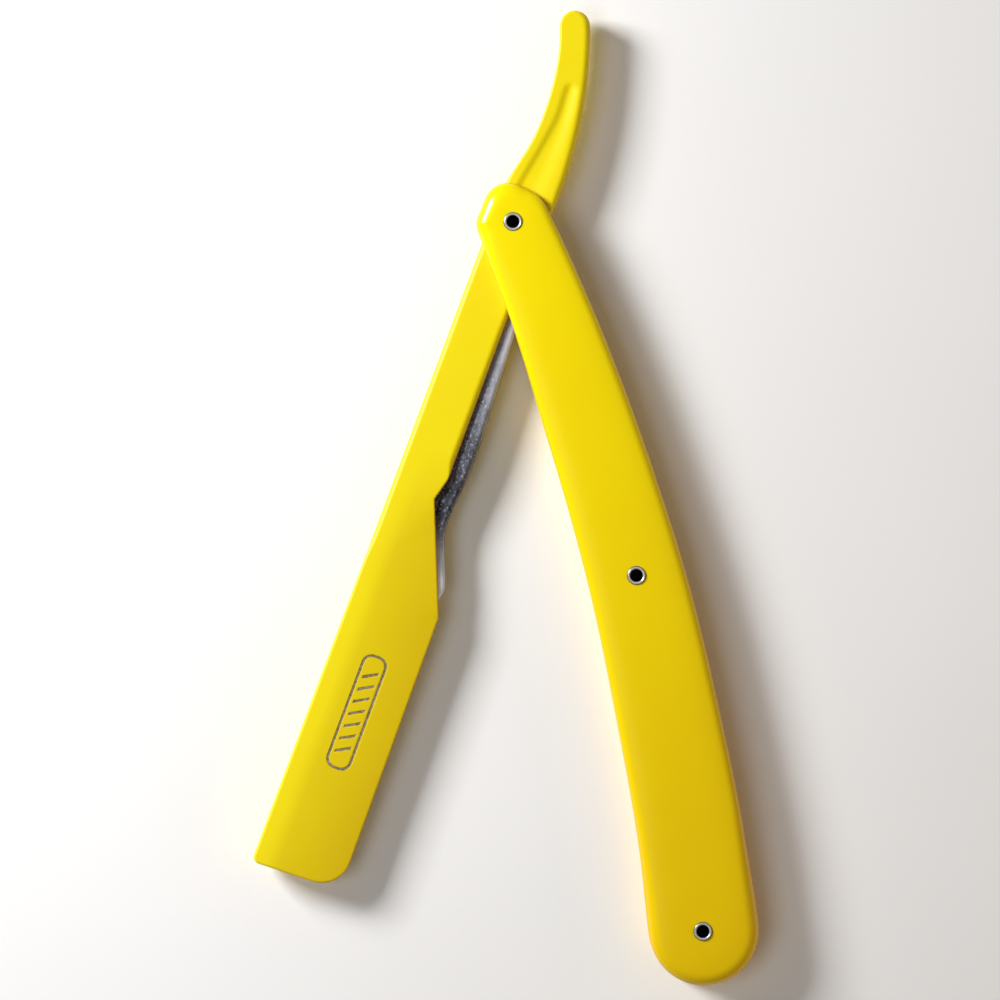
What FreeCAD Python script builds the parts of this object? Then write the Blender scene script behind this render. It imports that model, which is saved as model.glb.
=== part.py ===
import FreeCAD, Part
import math
import os

# Folding razor that takes a replaceable half blade: a two-scale plastic handle held by three
# hollow rivets, a slit arm with a tang, and a blade clamp that swings out of the arm's slot.
#
# Row frame, millimetres: origin on the pivot axis half way between the scales, +X along the
# handle from the pivot to the tail, +Y towards the handle's convex back, +Z out of the front
# scale. The arm and the clamp are drawn in their own plan: s along the arm from the pivot to
# the tip (x), w towards the cutting side (y). They are then turned by the resting angle.

os.makedirs("parts", exist_ok=True)

# ---- thicknesses, measured from the middle plane ----
clamp_half = 1.0
slot_half = 1.1
arm_half = 2.2
edge_half = 1.5
scale_inner = 2.5
scale_thickness = 2.6
scale_outer = scale_inner + scale_thickness

# ---- arm position ----
rest_angle = -35.43

# ---- rivets ----
pivot_place = (0.0, 0.0)
middle_place = (63.06, 4.69)
tail_place = (123.96, 0.0)
rivet_bore = 1.05
rivet_radius = 1.30
rivet_play = 0.05
flange_radius = 1.62
flange_height = 0.30
flange_round = 0.14
rear_flange_radius = 1.75
rear_flange_height = 0.30
washer_radius = 2.30
washer_thickness = 0.50
recess_play = 0.05
recess_depth = rear_flange_height + washer_thickness
pivot_washer_radius = 3.4
pivot_washer_gap = 0.03

# ---- scales ----
tail_centre = (124.14, 0.25)
tail_radius = 9.25
tail_start_angle = -96.8
tail_end_angle = 80.0
scale_edge_round = 1.8
scale_inner_round = 0.25
head_back_corner = (-2.98, 5.79)
head_end_corner = (-8.80, -0.74)
head_front_corner = (-1.52, -6.16)
head_back_radius = 6.0
head_end_radius = 4.2
head_front_radius = 2.2
front_edge_direction = (1.0, 0.085)
back_edge_direction = (-1.0, -0.20)
tail_spacer_radius = 8.0
tail_spacer_clear_radius = 118.0
middle_spacer_radius = 2.0

# ---- arm plan ----
spine_w = -3.7
tang_end_centre = (-35.0, -1.8)
tang_end_radius = 2.55
tang_end_from = 292.0
tang_end_to = 118.0
spine_start_s = -3.5
tip_spine_corner = (116.85, spine_w)
tip_edge_corner = (116.35, 12.05)
tip_spine_radius = 1.2
tip_edge_radius = 5.0
head_corner = (67.2, 11.6)
head_corner_radius = 0.6
notch_corner = (48.5, 3.9)
notch_radius = 0.6
step_corner = (44.6, 4.9)
step_radius = 2.5
shank_end = (8.0, 4.8)
arm_edge_round = 0.9
crisp_edges_from_s = 41.6
crisp_edges_over_w = 0.5
tang_groove_depth = 0.5
slot_floor_w = -2.6
slot_end_radius = 6.3

# ---- blade face, ground down from the spine band to the cutting edge ----
face_start_w = 0.0
cutting_edge_w = 12.0
facet_end_s = 60.0
facet_slope = 0.08

# ---- clamp plan ----
clamp_floor_w = slot_floor_w + 0.12
clamp_swing = 26.0
stop_play = 0.02
heel_s = -5.0
heel_edge_w = 2.6
heel_low_radius = 1.0
heel_back_radius = 0.6
nub_start = (53.4, 7.7)
nub_start_direction = (1.0, 0.2)
nub_end = (65.2, 9.3)
nub_dip = (67.0, 9.2)
clamp_head_start_s = 68.6
clamp_tip_s = 115.6
clamp_tip_rake = 0.3
clamp_tip_radius = 4.6
clamp_edge_w = 11.2
clamp_edge_round = 0.75
rounded_edge_span = (5.0, 62.0)
rounded_edge_over_w = 5.0
rounded_edge_shortest = 5.0
seat_floor_z = 0.45
seat_start_s = 68.2
seat_back_w = 3.2
stud_radius = 0.70
stud_top_z = 0.95
stud_places = ((79.0, 7.0), (101.0, 7.0))
jimp_first_s = 27.0
jimp_pitch = 1.2
jimp_count = 17
jimp_width = 0.5
jimp_depth = 0.2
jimp_from_w = 4.6
jimp_to_w = 5.9

TOOL = 30.0


def vec(point, z=0.0):
    return FreeCAD.Vector(point[0], point[1], z)


def unit(direction):
    length = math.hypot(direction[0], direction[1])
    return (direction[0] / length, direction[1] / length)


def polar(centre, radius, degrees):
    angle = math.radians(degrees)
    return (centre[0] + radius * math.cos(angle), centre[1] + radius * math.sin(angle))


def line(start, end):
    return Part.LineSegment(vec(start), vec(end)).toShape()


def arc(centre, radius, start_angle, end_angle):
    """Arc from start_angle to end_angle, in whichever sense the two angles give."""
    start = polar(centre, radius, start_angle)
    middle = polar(centre, radius, (start_angle + end_angle) / 2.0)
    end = polar(centre, radius, end_angle)
    return Part.Arc(vec(start), vec(middle), vec(end)).toShape()


def curve(points, start_direction, end_direction):
    """Smooth curve through the points that leaves and arrives along the given directions."""
    spline = Part.BSplineCurve()
    spline.interpolate(
        Points=[vec(point) for point in points],
        InitialTangent=vec(unit(start_direction)),
        FinalTangent=vec(unit(end_direction)),
        Scale=False,
    )
    return spline.toShape()


def rounded(before, corner, after, radius):
    """Round a corner: its two tangent points and the arc between them."""
    back = unit((before[0] - corner[0], before[1] - corner[1]))
    forth = unit((after[0] - corner[0], after[1] - corner[1]))
    cosine = back[0] * forth[0] + back[1] * forth[1]
    half_angle = math.acos(cosine) / 2.0
    reach = radius / math.tan(half_angle)
    start = (corner[0] + reach * back[0], corner[1] + reach * back[1])
    end = (corner[0] + reach * forth[0], corner[1] + reach * forth[1])
    middle_way = unit((back[0] + forth[0], back[1] + forth[1]))
    rise = radius / math.sin(half_angle) - radius
    middle = (corner[0] + rise * middle_way[0], corner[1] + rise * middle_way[1])
    return start, end, Part.Arc(vec(start), vec(middle), vec(end)).toShape()


def plate(edges, low, high):
    """Solid between two heights from a closed run of edges."""
    face = Part.Face(Part.Wire(edges))
    solid = face.extrude(FreeCAD.Vector(0, 0, high - low))
    solid.translate(FreeCAD.Vector(0, 0, low))
    return solid


def polygon_plate(points, low, high):
    edges = [line(points[i], points[(i + 1) % len(points)]) for i in range(len(points))]
    return plate(edges, low, high)


def cylinder(place, radius, low, high):
    return Part.makeCylinder(radius, high - low, vec(place, low))


def tube(place, inner, outer, low, high):
    return cylinder(place, outer, low, high).cut(cylinder(place, inner, low, high))


def edges_at_height(solid, height):
    """The edges that lie wholly in the plane z = height."""
    box_edges = []
    for edge in solid.Edges:
        box = edge.BoundBox
        if abs(box.ZMin - height) < 1e-4 and abs(box.ZMax - height) < 1e-4:
            box_edges.append(edge)
    return box_edges


def mirrored(solid):
    return solid.mirror(FreeCAD.Vector(0, 0, 0), FreeCAD.Vector(0, 0, 1))


def at_rest(solid):
    """Turn a solid drawn in the arm's plan to the arm's resting angle."""
    turned = solid.copy()
    turned.rotate(FreeCAD.Vector(0, 0, 0), FreeCAD.Vector(0, 0, 1), rest_angle)
    return turned


def save(node, solid):
    solids = solid.Solids
    shape = solids[0] if len(solids) == 1 else Part.makeCompound(solids)
    if not shape.isValid():
        raise ValueError(node + " is not a valid solid")
    shape.exportStep("parts/" + node + ".step")


# ---------------------------------------------------------------- handle


def scale_outline():
    """Plan of a scale: concave front edge, round tail, convex back, blunt cornered head."""
    a = head_back_corner
    b = head_end_corner
    c = head_front_corner
    front_ahead = (c[0] + front_edge_direction[0], c[1] + front_edge_direction[1])
    back_ahead = (a[0] - back_edge_direction[0], a[1] - back_edge_direction[1])
    a_start, a_end, a_arc = rounded(back_ahead, a, b, head_back_radius)
    b_start, b_end, b_arc = rounded(a, b, c, head_end_radius)
    c_start, c_end, c_arc = rounded(b, c, front_ahead, head_front_radius)
    tail_start = polar(tail_centre, tail_radius, tail_start_angle)
    tail_end = polar(tail_centre, tail_radius, tail_end_angle)
    front_edge = curve(
        [c_end, (12.7, -4.86), (28.0, -4.08), (42.0, -3.62), (56.0, -3.42), (71.4, -3.82),
         (87.5, -4.88), (104.2, -6.25), (113.5, -7.45), tail_start],
        front_edge_direction,
        polar((0, 0), 1.0, tail_start_angle + 90),
    )
    back_edge = curve(
        [tail_end, (117.0, 10.38), (104.8, 11.50), (92.4, 12.22), (79.0, 12.78), (66.0, 12.92),
         (53.4, 12.50), (38.0, 11.48), (24.8, 10.18), (10.3, 8.18), a_start],
        polar((0, 0), 1.0, tail_end_angle + 90),
        back_edge_direction,
    )
    tail_arc = arc(tail_centre, tail_radius, tail_start_angle, tail_end_angle)
    end_line = line(a_end, b_start)
    chin_line = line(b_end, c_start)
    return [front_edge, tail_arc, back_edge, a_arc, end_line, b_arc, chin_line, c_arc]


def front_scale():
    solid = plate(scale_outline(), scale_inner, scale_outer)
    solid = solid.makeFillet(scale_edge_round, edges_at_height(solid, scale_outer))
    solid = solid.makeFillet(scale_inner_round, edges_at_height(solid, scale_inner))
    for place in (pivot_place, middle_place, tail_place):
        solid = solid.cut(cylinder(place, rivet_radius, scale_inner - 1, scale_outer + 1))
    return solid


def rear_scale():
    solid = mirrored(front_scale())
    for place in (pivot_place, middle_place, tail_place):
        floor = -scale_outer + recess_depth
        solid = solid.cut(cylinder(place, washer_radius + recess_play, -scale_outer - 1, floor))
    return solid


def hollow_rivet(place):
    """Rivet with a rolled lip on the front scale and a flat rolled end, flush at the rear."""
    top = scale_outer + flange_height
    bottom = -scale_outer
    body = cylinder(place, rivet_radius, bottom, top)
    lip = cylinder(place, flange_radius, scale_outer, top)
    rear_flange = cylinder(place, rear_flange_radius, bottom, bottom + rear_flange_height)
    solid = body.fuse(lip).fuse(rear_flange).removeSplitter()
    solid = solid.makeFillet(flange_round, edges_at_height(solid, top))
    return solid.cut(cylinder(place, rivet_bore, bottom - 1, top + 1))


def rivet_washer(place):
    low = -scale_outer + rear_flange_height
    return tube(place, rivet_radius, washer_radius, low, low + washer_thickness)


def pivot_washer():
    low = arm_half + pivot_washer_gap
    return tube(pivot_place, rivet_radius, pivot_washer_radius, low, scale_inner)


def middle_spacer():
    return tube(middle_place, rivet_radius, middle_spacer_radius, -scale_inner, scale_inner)


def tail_spacer():
    """Disc under the tail, hollowed on its front so that the arm's tip swings past."""
    disc = cylinder(tail_centre, tail_spacer_radius, -scale_inner, scale_inner)
    sweep = cylinder(pivot_place, tail_spacer_clear_radius, -scale_inner - 1, scale_inner + 1)
    hole = cylinder(tail_place, rivet_radius, -scale_inner - 1, scale_inner + 1)
    return disc.cut(sweep).cut(hole)


# ---------------------------------------------------------------- arm


def arm_outline():
    """Plan of the arm: straight spine, squared tip, notched cutting side and curved tang."""
    tang_low = polar(tang_end_centre, tang_end_radius, tang_end_from)
    tang_high = polar(tang_end_centre, tang_end_radius, tang_end_to)
    spine_start = (spine_start_s, spine_w)
    spine_tip = rounded(spine_start, tip_spine_corner, tip_edge_corner, tip_spine_radius)
    edge_tip = rounded(tip_spine_corner, tip_edge_corner, head_corner, tip_edge_radius)
    head = rounded(tip_edge_corner, head_corner, notch_corner, head_corner_radius)
    notch = rounded(head_corner, notch_corner, step_corner, notch_radius)
    step = rounded(notch_corner, step_corner, shank_end, step_radius)
    tang_spine = curve(
        [tang_low, (-30.8, -3.08), (-26.8, -2.2), (-22.7, -1.72), (-18.4, -1.58), (-14.2, -1.85),
         (-10.9, -2.45), (-7.5, -3.2), spine_start],
        polar((0, 0), 1.0, tang_end_from + 90),
        (1.0, 0.0),
    )
    tang_edge = curve(
        [shank_end, (2.2, 5.1), (-3.8, 5.65), (-9.6, 5.82), (-13.9, 5.55), (-18.0, 5.13),
         (-22.1, 4.5), (-26.1, 3.68), (-30.0, 2.65), (-33.5, 1.55), tang_high],
        (-1.0, 0.0),
        polar((0, 0), 1.0, tang_end_to + 90),
    )
    return [
        tang_spine,
        line(spine_start, spine_tip[0]),
        spine_tip[2],
        line(spine_tip[1], edge_tip[0]),
        edge_tip[2],
        line(edge_tip[1], head[0]),
        head[2],
        line(head[1], notch[0]),
        notch[2],
        line(notch[1], step[0]),
        step[2],
        line(step[1], shank_end),
        tang_edge,
        arc(tang_end_centre, tang_end_radius, tang_end_to, tang_end_from),
    ]


def face_grind():
    """Block removed above the blade face, bounded by the main face and a lead-in facet."""
    slope = (arm_half - edge_half) / (cutting_edge_w - face_start_w)
    drop = slope * TOOL
    main_profile = [
        FreeCAD.Vector(0, face_start_w, arm_half),
        FreeCAD.Vector(0, face_start_w + TOOL, arm_half - drop),
        FreeCAD.Vector(0, face_start_w + TOOL, arm_half + TOOL),
        FreeCAD.Vector(0, face_start_w, arm_half + TOOL),
    ]
    main_wire = Part.makePolygon(main_profile + [main_profile[0]])
    main = Part.Face(main_wire).extrude(FreeCAD.Vector(150, 0, 0))
    facet_profile = [
        FreeCAD.Vector(-100, 0, arm_half),
        FreeCAD.Vector(-100, 2 * TOOL, arm_half - facet_slope * 2 * TOOL),
        FreeCAD.Vector(-100, 2 * TOOL, arm_half + TOOL),
        FreeCAD.Vector(-100, 0, arm_half + TOOL),
    ]
    facet_wire = Part.makePolygon(facet_profile + [facet_profile[0]])
    facet = Part.Face(facet_wire).extrude(FreeCAD.Vector(200, 0, 0))
    facet_angle = math.degrees(math.atan2(-notch_corner[1], facet_end_s - notch_corner[0]))
    facet.rotate(FreeCAD.Vector(0, 0, 0), FreeCAD.Vector(0, 0, 1), facet_angle)
    facet.translate(vec(notch_corner))
    return main.common(facet)


def tang_groove():
    """Thumb groove on the tang, widening towards the pivot and rounded at its far end."""
    left = [(-24.2, 0.35), (-19.2, 0.55), (-13.5, -0.3), (-5.6, -1.7)]
    right = [(-5.6, 3.5), (-9.9, 3.75), (-14.3, 3.6), (-20.2, 3.1), (-24.4, 2.2)]
    left_wall = curve(left, (1.0, 0.12), (1.0, -0.18))
    right_wall = curve(right, (-1.0, 0.05), (-1.0, -0.3))
    far_end = Part.Arc(vec(right[-1]), vec((-25.4, 1.2)), vec(left[0])).toShape()
    near_end = line(left[-1], right[0])
    return plate([left_wall, near_end, right_wall, far_end], arm_half - tang_groove_depth, arm_half + 1)


def slot():
    """Slit from the cutting side, open at the tip, round behind the pivot."""
    far = tip_spine_corner[0] + TOOL
    run_points = [(0, slot_floor_w), (far, slot_floor_w), (far, TOOL), (0, TOOL)]
    run = polygon_plate(run_points, -slot_half, slot_half)
    disc = cylinder(pivot_place, slot_end_radius, -slot_half, slot_half)
    over_points = [(-TOOL, slot_floor_w), (TOOL, slot_floor_w), (TOOL, TOOL), (-TOOL, TOOL)]
    over_floor = polygon_plate(over_points, -slot_half, slot_half)
    return run.fuse(disc.common(over_floor))


def is_sharp_head_edge(edge):
    """Edges of the ground head and notch, which stay crisp."""
    middle = edge.BoundBox.Center
    return middle.x > crisp_edges_from_s and middle.y > crisp_edges_over_w


def blade_arm():
    solid = plate(arm_outline(), -arm_half, arm_half)
    faces = edges_at_height(solid, arm_half) + edges_at_height(solid, -arm_half)
    soft = [edge for edge in faces if not is_sharp_head_edge(edge)]
    solid = solid.makeFillet(arm_edge_round, soft)
    grind = face_grind()
    groove = tang_groove()
    solid = solid.cut(grind).cut(mirrored(grind))
    solid = solid.cut(groove).cut(mirrored(groove))
    solid = solid.cut(slot())
    return solid.cut(cylinder(pivot_place, rivet_radius + rivet_play, -TOOL, TOOL))


# ---------------------------------------------------------------- clamp


def clamp_outline():
    """Plan of the clamp: heel with stop face, shank, finger nub, then the blade head."""
    stop_normal = polar(pivot_place, 1.0, 270.0 - clamp_swing)
    stop_distance = -slot_floor_w - stop_play
    stop_low = ((stop_distance - clamp_floor_w * stop_normal[1]) / stop_normal[0], clamp_floor_w)
    stop_high = (heel_s, (stop_distance - heel_s * stop_normal[0]) / stop_normal[1])
    heel_top = (heel_s, heel_edge_w)
    tip_low = (clamp_tip_s, clamp_floor_w)
    tip_high = (clamp_tip_s - clamp_tip_rake, clamp_edge_w)
    head_start = (clamp_head_start_s, clamp_edge_w)
    low_heel = rounded(tip_low, stop_low, stop_high, heel_low_radius)
    back_heel = rounded(stop_low, stop_high, heel_top, heel_back_radius)
    tip_corner = rounded(tip_low, tip_high, head_start, clamp_tip_radius)
    outer_edge = curve(
        [heel_top, (-1.5, 5.0), (6.0, 6.1), (19.4, 7.14), (31.0, 7.7), (44.0, 7.88), nub_start],
        (0.6, 1.0),
        nub_start_direction,
    )
    nub = curve(
        [nub_start, (56.6, 8.75), (60.0, 10.15), (62.9, 10.9), nub_end],
        nub_start_direction,
        (0.2, -1.0),
    )
    return [
        line(low_heel[1], back_heel[0]),
        back_heel[2],
        line(back_heel[1], heel_top),
        outer_edge,
        nub,
        line(nub_end, nub_dip),
        line(nub_dip, head_start),
        line(head_start, tip_corner[1]),
        tip_corner[2],
        line(tip_corner[0], tip_low),
        line(tip_low, low_heel[0]),
        low_heel[2],
    ]


def blade_seat():
    """Recess on the front of the clamp's head, as deep as the blade and its studs need."""
    far = clamp_tip_s + 2
    points = [(seat_start_s, seat_back_w), (far, seat_back_w), (far, TOOL), (seat_start_s, TOOL)]
    return polygon_plate(points, seat_floor_z, clamp_half + 1)


def jimps():
    """Fine cross cuts that roughen the clamp's faces where they leave the slot."""
    cuts = []
    for index in range(jimp_count):
        start = jimp_first_s + index * jimp_pitch
        points = [(start, jimp_from_w), (start + jimp_width, jimp_from_w),
                  (start + jimp_width, jimp_to_w), (start, jimp_to_w)]
        cuts.append(polygon_plate(points, clamp_half - jimp_depth, clamp_half + 1))
    return Part.makeCompound(cuts)


def shows_beside_shank(edge):
    """Long outer edges of the clamp, which are rounded over."""
    middle = edge.BoundBox.Center
    in_span = rounded_edge_span[0] < middle.x < rounded_edge_span[1]
    return in_span and middle.y > rounded_edge_over_w and edge.Length > rounded_edge_shortest


def blade_clamp():
    solid = plate(clamp_outline(), -clamp_half, clamp_half)
    faces = edges_at_height(solid, clamp_half) + edges_at_height(solid, -clamp_half)
    outer = [edge for edge in faces if shows_beside_shank(edge)]
    solid = solid.makeFillet(clamp_edge_round, outer)
    cuts = jimps()
    solid = solid.cut(cuts).cut(mirrored(cuts))
    solid = solid.cut(blade_seat())
    for place in stud_places:
        solid = solid.cut(cylinder(place, stud_radius, -TOOL, TOOL))
    return solid.cut(cylinder(pivot_place, rivet_radius + rivet_play, -TOOL, TOOL))


def blade_studs():
    studs = [cylinder(place, stud_radius, -clamp_half, stud_top_z) for place in stud_places]
    return Part.makeCompound(studs)


# ---------------------------------------------------------------- write the parts

save("front_scale", front_scale())
save("rear_scale", rear_scale())
save("tail_spacer", tail_spacer())
save("middle_spacer", middle_spacer())
for name, place in (("pivot", pivot_place), ("middle", middle_place), ("tail", tail_place)):
    save(name + "_rivet", hollow_rivet(place))
    save(name + "_rivet_washer", rivet_washer(place))
save("front_pivot_washer", pivot_washer())
save("rear_pivot_washer", mirrored(pivot_washer()))
save("blade_arm", at_rest(blade_arm()))
save("blade_clamp", at_rest(blade_clamp()))
save("blade_studs", at_rest(blade_studs()))
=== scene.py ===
import math

import bpy
import numpy as np
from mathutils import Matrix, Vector
from mathutils.geometry import delaunay_2d_cdt


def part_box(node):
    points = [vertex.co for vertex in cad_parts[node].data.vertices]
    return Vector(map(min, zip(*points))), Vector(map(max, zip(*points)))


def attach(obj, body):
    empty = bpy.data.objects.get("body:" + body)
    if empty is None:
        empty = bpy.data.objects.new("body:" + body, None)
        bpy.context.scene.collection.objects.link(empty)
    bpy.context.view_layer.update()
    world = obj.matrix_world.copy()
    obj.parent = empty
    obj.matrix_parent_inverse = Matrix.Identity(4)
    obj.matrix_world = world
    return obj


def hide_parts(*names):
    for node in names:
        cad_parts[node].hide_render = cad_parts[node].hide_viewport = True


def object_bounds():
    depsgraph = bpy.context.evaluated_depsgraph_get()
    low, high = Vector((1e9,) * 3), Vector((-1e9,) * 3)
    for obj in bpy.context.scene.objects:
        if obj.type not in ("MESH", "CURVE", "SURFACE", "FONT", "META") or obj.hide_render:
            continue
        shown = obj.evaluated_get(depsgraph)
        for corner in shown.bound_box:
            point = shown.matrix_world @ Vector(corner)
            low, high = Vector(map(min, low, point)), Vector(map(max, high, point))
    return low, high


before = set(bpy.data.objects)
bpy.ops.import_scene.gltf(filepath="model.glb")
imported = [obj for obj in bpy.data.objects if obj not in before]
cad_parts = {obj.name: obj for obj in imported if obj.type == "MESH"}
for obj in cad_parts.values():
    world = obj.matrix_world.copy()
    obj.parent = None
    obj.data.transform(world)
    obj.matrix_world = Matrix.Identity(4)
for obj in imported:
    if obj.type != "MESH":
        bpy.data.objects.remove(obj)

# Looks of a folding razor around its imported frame. Shapes are worked out in millimetres in the
# row frame, or for the arm and the clamp in the arm's own plan: s along the arm from the pivot
# (x) and w towards the cutting side (y). They are written to the meshes in metres.

cad_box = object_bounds()

MM = 0.001
ARM_ANGLE = math.radians(-35.43)

# ---- driving dimensions, mm ----
SLOT_HALF = 1.1
SLOT_FLOOR_W = -2.6
SLOT_END_RADIUS = 6.3
RIVET_BORE = 1.05
HOLE_RADIUS = 1.30
RECESS_RADIUS = 2.35
RECESS_DEPTH = 0.8
SCALE_CROWN = 0.85
SCALE_CROWN_REACH = 13.0
SCALE_EDGE_INSET = 1.4
SCALE_EDGE_FALL = 0.8
SCALE_HEAD_INSET = 3.0
SCALE_HEAD_FALL = 1.45
SCALE_TAIL_INSET = 2.1
SCALE_TAIL_FALL = 1.45
INNER_EDGE_ROUND = 0.25
PIVOT_PLAY = 0.05
ARM_BORE = HOLE_RADIUS + PIVOT_PLAY

# ---- how finely the meshes are worked out: grid rows are a share of the spacing apart ----
KEYS_PER_MM = 5000
BATCH = 2000
GRID_ROW_SHARE = 0.866
SMOOTH_DEGREES = 32.0

HANDLE = "handle"
ARM = "arm"
CLAMP = "clamp"


def node_span(node):
    """Lowest and highest corners of a CAD node, mm."""
    low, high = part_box(node)
    return np.array(low) / MM, np.array(high) / MM


def node_centre(node):
    low, high = node_span(node)
    return (low + high) / 2


PIVOT = node_centre("pivot_rivet")[:2]
MIDDLE = node_centre("middle_rivet")[:2]
TAIL = node_centre("tail_rivet")[:2]
SCALE_INNER = node_span("front_scale")[0][2]
SCALE_OUTER = node_span("front_scale")[1][2]
ARM_HALF = node_span("blade_arm")[1][2]
CLAMP_HALF = node_span("blade_clamp")[1][2]

# ---------------------------------------------------------------- plan outlines


def turned(points, angle):
    """Plan points turned about the pivot axis."""
    c, s = math.cos(angle), math.sin(angle)
    p = np.asarray(points, float)
    return np.stack([p[:, 0] * c - p[:, 1] * s, p[:, 0] * s + p[:, 1] * c], 1)


def sliced(node, height):
    """Outer outline of a CAD node where it crosses z = height: the corners of its curve, mm."""
    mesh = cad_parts[node].data
    mesh.calc_loop_triangles()
    co = np.array([v.co for v in mesh.vertices]) / MM
    key = [tuple(int(round(c * KEYS_PER_MM)) for c in point) for point in co]
    side = co[:, 2] - height
    links = {}
    place = {}
    for tri in mesh.loop_triangles:
        ids = list(tri.vertices)
        ends = []
        for a, b in ((0, 1), (1, 2), (2, 0)):
            first, second = sorted((ids[a], ids[b]), key=lambda v: key[v])
            if (side[first] < 0) != (side[second] < 0):
                edge = (key[first], key[second])
                share = side[first] / (side[first] - side[second])
                place[edge] = (co[first] + (co[second] - co[first]) * share)[:2]
                ends.append(edge)
        if len(ends) == 2 and ends[0] != ends[1]:
            links.setdefault(ends[0], set()).add(ends[1])
            links.setdefault(ends[1], set()).add(ends[0])
    loops = []
    left = set(links)
    while left:
        start = min(left)
        loop = [start]
        left.discard(start)
        for turn in range(2):
            while True:
                ahead = sorted(k for k in links[loop[-1]] if k in left)
                if not ahead:
                    break
                loop.append(ahead[0])
                left.discard(ahead[0])
            loop.reverse()
        loops.append(np.array([place[k] for k in loop]))
    outer = max(loops, key=lambda loop: np.ptp(loop[:, 0]) + np.ptp(loop[:, 1]))
    return without_flat_points(outer)


def without_flat_points(loop, tolerance=2e-4, closest=0.05):
    """Drop the points that crowd another or lie on the chord between their neighbours."""
    kept = [loop[0]]
    for point in loop[1:]:
        if np.hypot(*(point - kept[-1])) > closest and np.hypot(*(point - kept[0])) > closest:
            kept.append(point)
    changed = True
    while changed:
        changed = False
        result = []
        count = len(kept)
        for i in range(count):
            before = result[-1] if result else kept[-1]
            here = kept[i]
            after = kept[(i + 1) % count]
            chord = after - before
            length = np.hypot(*chord)
            gap = abs(chord[0] * (here - before)[1] - chord[1] * (here - before)[0])
            if length > 1e-9 and gap / length < tolerance:
                changed = True
                continue
            result.append(here)
        kept = result
    return np.array(kept)


def smooth_loop(corners, spacing, sharp_degrees=28.0):
    """Evenly spaced points on a smooth closed curve through the corners, anticlockwise."""
    p = np.asarray(corners, float)
    area = np.sum(p[:, 0] * np.roll(p[:, 1], -1) - np.roll(p[:, 0], -1) * p[:, 1])
    if area < 0:
        p = p[::-1]
    back = p - np.roll(p, 1, 0)
    forth = np.roll(p, -1, 0) - p
    back_len = np.hypot(back[:, 0], back[:, 1])
    forth_len = np.hypot(forth[:, 0], forth[:, 1])
    back_dir = back / back_len[:, None]
    forth_dir = forth / forth_len[:, None]
    share = (forth_len / (back_len + forth_len))[:, None]
    tangent = back_dir * share + forth_dir * (1 - share)
    tangent /= np.hypot(tangent[:, 0], tangent[:, 1])[:, None]
    turn = np.degrees(np.arccos(np.clip(np.sum(back_dir * forth_dir, 1), -1, 1)))
    sharp = turn > sharp_degrees
    reach = np.minimum(back_len, forth_len) / 3
    out = []
    for i in range(len(p)):
        j = (i + 1) % len(p)
        leave = forth_dir[i] if sharp[i] else tangent[i]
        arrive = back_dir[j] if sharp[j] else tangent[j]
        a = p[i] + leave * reach[i]
        b = p[j] - arrive * reach[j]
        steps = max(1, int(round(forth_len[i] / spacing)))
        for k in range(steps):
            t = k / steps
            u = 1 - t
            out.append(u ** 3 * p[i] + 3 * u * u * t * a + 3 * u * t * t * b + t ** 3 * p[j])
    return np.array(out)


def inward_normals(loop):
    run = np.roll(loop, -1, 0) - np.roll(loop, 1, 0)
    run /= np.hypot(run[:, 0], run[:, 1])[:, None]
    return np.stack([-run[:, 1], run[:, 0]], 1)


def room_to_inset(loop, wanted):
    """Inset held below the loop's own radius at its tight convex corners, changing gently."""
    reach = 3
    least_bend = 0.05
    share_of_radius = 0.85
    no_limit = 99
    steepest = 0.08
    ahead, behind = np.roll(loop, -reach, 0), np.roll(loop, reach, 0)
    first, second = loop - behind, ahead - loop
    cross = first[:, 0] * second[:, 1] - first[:, 1] * second[:, 0]
    chord = np.hypot(*(ahead - behind).T)
    bend = 2 * cross / (np.hypot(*first.T) * np.hypot(*second.T) * chord)
    limit = np.where(bend > least_bend, share_of_radius / np.maximum(bend, least_bend), no_limit)
    held = np.minimum(wanted, limit)
    for _ in range(6):
        held = np.minimum(held, np.minimum(np.roll(held, 1), np.roll(held, -1)) + steepest)
    return eased_round(held, 5)


def eased_round(values, window):
    """Values averaged twice along a closed loop."""
    return averaged_round(averaged_round(values, window), window)


def averaged_round(values, window):
    """Values averaged with their neighbours along a closed loop."""
    total = np.zeros(len(values))
    for shift in range(-window, window + 1):
        total += np.roll(values, shift)
    return total / (2 * window + 1)


def circle(centre, radius, count=48):
    angles = np.arange(count) * (2 * math.pi / count)
    return np.stack([centre[0] + radius * np.cos(angles), centre[1] + radius * np.sin(angles)], 1)


def inside(points, loop):
    """Even-odd test of many points against one closed loop."""
    result = np.zeros(len(points), bool)
    x1, y1 = loop[:, 0], loop[:, 1]
    x2, y2 = np.roll(x1, -1), np.roll(y1, -1)
    rise = np.where(y2 == y1, 1e-12, y2 - y1)
    for first in range(0, len(points), BATCH):
        part = points[first:first + BATCH]
        px, py = part[:, :1], part[:, 1:]
        crosses = ((y1 <= py) != (y2 <= py)) & (px < x1 + (py - y1) * (x2 - x1) / rise)
        result[first:first + BATCH] = crosses.sum(1) % 2 == 1
    return result


def distance_to(points, loop):
    result = np.empty(len(points))
    for first in range(0, len(points), BATCH):
        part = points[first:first + BATCH]
        gap = (part[:, None, 0] - loop[None, :, 0]) ** 2 + (part[:, None, 1] - loop[None, :, 1]) ** 2
        result[first:first + BATCH] = np.sqrt(gap.min(1))
    return result


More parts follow.
